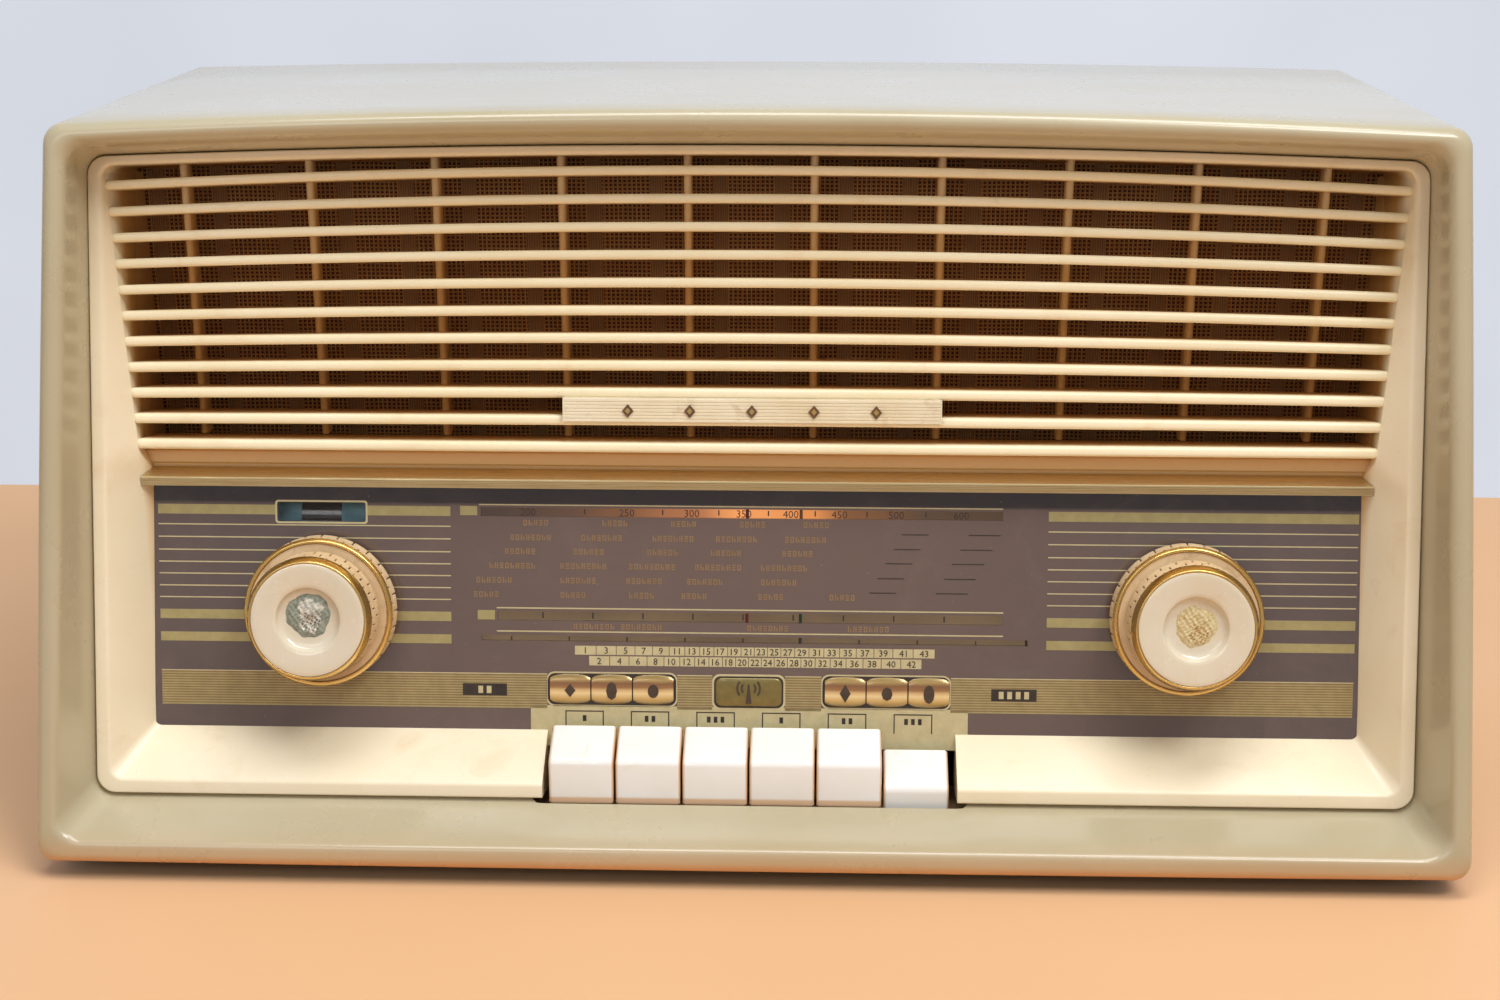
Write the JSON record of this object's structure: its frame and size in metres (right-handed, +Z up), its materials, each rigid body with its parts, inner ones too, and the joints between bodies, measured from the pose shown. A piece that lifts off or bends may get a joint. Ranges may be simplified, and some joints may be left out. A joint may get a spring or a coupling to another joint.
{
  "type": "table radio",
  "caption": "Vintage table radio with a moulded cabinet, louvred loudspeaker grille, wide glass tuning dial, concentric knobs and piano keys.",
  "frame": {"origin": "on the table under the middle of the set", "axes": "+X to the right seen from the front, +Y from front to back, +Z up"},
  "size_m": [0.5236, 0.2327, 0.275],
  "materials": {
    "cabinet": "glossy olive-beige moulded shell",
    "cream_moulding": "satin aged cream moulding",
    "grille_moulding": "satin aged cream moulding",
    "nameplate": "fine ribbed cream plate",
    "brass_trim": "aged gilt strip",
    "dial_glass": "back-printed glass, mostly opaque",
    "painted_plate": "matt cream paint",
    "valve_glass": "clear glass with internal electrodes",
    "red_pointer": "red paint",
    "green_pointer": "green paint",
    "plated_steel": "dull zinc plating",
    "drive_cord": "waxed braided cord",
    "aluminium": "drawn aluminium",
    "pulley_plastic": "moulded plastic",
    "lamp_glass": "small filament lamps",
    "grille_cloth": "brown woven loudspeaker cloth",
    "baffle_wood": "plywood, dark front",
    "pressed_steel": "grey hammered paint",
    "cone_paper": "black pressed paper",
    "magnet_steel": "grey paint",
    "knob_plastic": "glossy cream moulding",
    "gilt_bezel": "gilt bezel",
    "ring_knob_plastic": "glossy cream moulding",
    "shaft_steel": "turned steel",
    "shaft_brass": "turned brass",
    "key_plastic": "white glossy moulding",
    "spring_steel": "spring wire",
    "pertinax": "laminated insulating board",
    "transformer_iron": "varnished laminations",
    "ferrite": "dark ferrite with coils",
    "hardboard": "pressed hardboard",
    "rubber": "black rubber"
  },
  "bodies": {
    "root": {"cabinet": "cabinet", "front_frame": "cream_moulding", "louvre_grille": "grille_moulding", "nameplate": "nameplate", "trim_strip": "brass_trim", "dial_glass": "dial_glass", "dial_backplate": "painted_plate", "tuning_eye": "valve_glass", "pointer_rail": "plated_steel", "drive_cord": "drive_cord", "dial_lamps": "lamp_glass", "grille_cloth": "grille_cloth", "baffle_board": "baffle_wood", "speaker_frame": "pressed_steel", "speaker_cone": "cone_paper", "speaker_magnet": "magnet_steel", "tweeter": "pressed_steel", "volume_bass_control": "plated_steel", "treble_control": "plated_steel", "key_frame": "plated_steel", "key_pivot": "plated_steel", "key_springs": "spring_steel", "wave_switch": "pertinax", "chassis": "plated_steel", "mains_transformer": "transformer_iron", "output_transformer": "transformer_iron", "valves": "valve_glass", "if_cans": "aluminium", "electrolytic_can": "aluminium", "fm_tuner": "plated_steel", "capacitor_frame": "plated_steel", "ferrite_aerial": "ferrite", "back_cover": "hardboard", "back_screws": "plated_steel", "socket_strip": "pertinax", "rubber_feet": "rubber"},
    "volume": {"volume_knob": "knob_plastic", "volume_knob_trim": "gilt_bezel", "volume_shaft": "shaft_steel"},
    "bass": {"bass_knob": "ring_knob_plastic", "bass_knob_trim": "gilt_bezel", "bass_shaft": "shaft_brass"},
    "tuning": {"tuning_knob": "knob_plastic", "tuning_knob_trim": "gilt_bezel", "tuning_shaft": "shaft_steel"},
    "treble": {"treble_knob": "ring_knob_plastic", "treble_knob_trim": "gilt_bezel", "treble_shaft": "shaft_brass"},
    "am_needle": {"am_pointer": "red_pointer"},
    "fm_needle": {"fm_pointer": "green_pointer"},
    "drum": {"cord_drum": "aluminium"},
    "rotor": {"capacitor_rotor": "aluminium"},
    "idler_left": {"idler_pulley_left": "pulley_plastic"},
    "idler_right": {"idler_pulley_right": "pulley_plastic"},
    "key1_lever": {"key_1": "key_plastic"},
    "key2_lever": {"key_2": "key_plastic"},
    "key3_lever": {"key_3": "key_plastic"},
    "key4_lever": {"key_4": "key_plastic"},
    "key5_lever": {"key_5": "key_plastic"},
    "key6_lever": {"key_6": "key_plastic"}
  },
  "joints": [
    {"name": "volume_turn", "type": "hinge", "parent": "root", "child": "volume", "pos_m": [-0.162, -0.07685, 0.08989], "axis": [0, 0.9763, -0.2164], "range_deg": [-150, 150]},
    {"name": "bass_turn", "type": "hinge", "parent": "root", "child": "bass", "pos_m": [-0.162, -0.07685, 0.08989], "axis": [0, 0.9763, -0.2164], "range_deg": [-140, 140]},
    {"name": "treble_turn", "type": "hinge", "parent": "root", "child": "treble", "pos_m": [0.162, -0.07685, 0.08989], "axis": [0, 0.9763, -0.2164], "range_deg": [-140, 140]},
    {"name": "tuning_turn", "type": "hinge", "parent": "root", "child": "tuning", "pos_m": [0.162, -0.07685, 0.08989], "axis": [0, 0.9763, -0.2164], "range_deg": [-1146, 1089]},
    {"name": "am_slide", "type": "slide", "parent": "root", "child": "am_needle", "axis": [1, 0, 0], "range_m": [-0.1005, 0.0955]},
    {"name": "fm_slide", "type": "slide", "parent": "root", "child": "fm_needle", "axis": [1, 0, 0], "range_m": [-0.1005, 0.0955]},
    {"name": "drum_turn", "type": "hinge", "parent": "root", "child": "drum", "pos_m": [0.04, -0.01643, 0.07598], "axis": [0, 0.9763, -0.2164], "range_deg": [-144, 137]},
    {"name": "rotor_turn", "type": "hinge", "parent": "root", "child": "rotor", "pos_m": [0.054, -0.01599, 0.07793], "axis": [0, 0.9763, -0.2164], "range_deg": [-88.5, 93]},
    {"name": "idler_left_turn", "type": "hinge", "parent": "root", "child": "idler_left", "pos_m": [-0.212, -0.00788, 0.11454], "axis": [0, 0.9763, -0.2164], "range_deg": [-717, 681.5]},
    {"name": "idler_right_turn", "type": "hinge", "parent": "root", "child": "idler_right", "pos_m": [0.212, -0.00788, 0.11454], "axis": [0, 0.9763, -0.2164], "range_deg": [-717, 681.5]},
    {"name": "key_1_press", "type": "hinge", "parent": "root", "child": "key1_lever", "pos_m": [-0.0629, 0.00693, 0.027], "axis": [1, 0, 0], "range_deg": [0, 5.6], "stiffness_Nm_per_rad": 2, "springref_deg": -4.58},
    {"name": "key_2_press", "type": "hinge", "parent": "root", "child": "key2_lever", "pos_m": [-0.0379, 0.00693, 0.027], "axis": [1, 0, 0], "range_deg": [0, 5.6], "stiffness_Nm_per_rad": 2, "springref_deg": -4.58},
    {"name": "key_3_press", "type": "hinge", "parent": "root", "child": "key3_lever", "pos_m": [-0.0129, 0.00693, 0.027], "axis": [1, 0, 0], "range_deg": [0, 5.6], "stiffness_Nm_per_rad": 2, "springref_deg": -4.58},
    {"name": "key_4_press", "type": "hinge", "parent": "root", "child": "key4_lever", "pos_m": [0.0121, 0.00693, 0.027], "axis": [1, 0, 0], "range_deg": [0, 5.6], "stiffness_Nm_per_rad": 2, "springref_deg": -4.58},
    {"name": "key_5_press", "type": "hinge", "parent": "root", "child": "key5_lever", "pos_m": [0.0371, 0.00693, 0.027], "axis": [1, 0, 0], "range_deg": [0, 5.6], "stiffness_Nm_per_rad": 2, "springref_deg": -4.58},
    {"name": "key_6_release", "type": "hinge", "parent": "root", "child": "key6_lever", "pos_m": [0.0621, 0.00693, 0.027], "axis": [1, 0, 0], "range_deg": [-5.6, 0]}
  ],
  "couplings": [
    {"joint": "am_slide", "follows": "tuning_turn", "m_per_rad": 0.005},
    {"joint": "fm_slide", "follows": "tuning_turn", "m_per_rad": 0.005},
    {"joint": "drum_turn", "follows": "tuning_turn", "ratio": 0.125},
    {"joint": "rotor_turn", "follows": "tuning_turn", "ratio": -0.0805},
    {"joint": "idler_left_turn", "follows": "tuning_turn", "ratio": 0.625},
    {"joint": "idler_right_turn", "follows": "tuning_turn", "ratio": 0.625}
  ]
}
